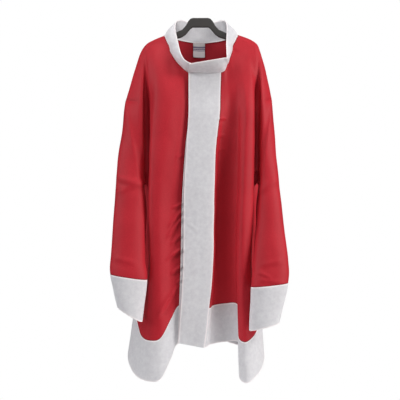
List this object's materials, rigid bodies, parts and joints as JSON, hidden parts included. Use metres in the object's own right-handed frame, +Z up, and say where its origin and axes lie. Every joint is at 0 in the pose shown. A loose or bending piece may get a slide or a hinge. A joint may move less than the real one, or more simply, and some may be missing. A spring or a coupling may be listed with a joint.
{
  "type": "santa suit coat on a hanger",
  "caption": "Long loose red coat with a white plush stand collar, front band, cuffs and hem band, hanging open-sleeved on a moulded plastic hanger.",
  "frame": {"origin": "middle of the underside of the hanger's raised bridge, where a peg or rail holds it", "axes": "+X to the right as one faces the coat's front, +Y to its back, +Z up"},
  "size_m": [0.5299, 0.2576, 1.105],
  "materials": {
    "red_cloth": "smooth polyester suiting with a slight sheen",
    "white_plush": "short dense matt plush",
    "label_cloth": "woven satin tape, blank",
    "hanger_plastic": "moulded, satin"
  },
  "bodies": {
    "root": {"back": "red_cloth", "front_right": "red_cloth", "front_left": "red_cloth", "sleeve_right": "red_cloth", "sleeve_left": "red_cloth", "collar": "white_plush", "front_band": "white_plush", "under_band": "white_plush", "cuff_right": "white_plush", "cuff_left": "white_plush", "hem_back": "white_plush", "hem_front_right": "white_plush", "hem_front_left": "white_plush", "label": "label_cloth", "hanger": "hanger_plastic"}
  },
  "joints": []
}
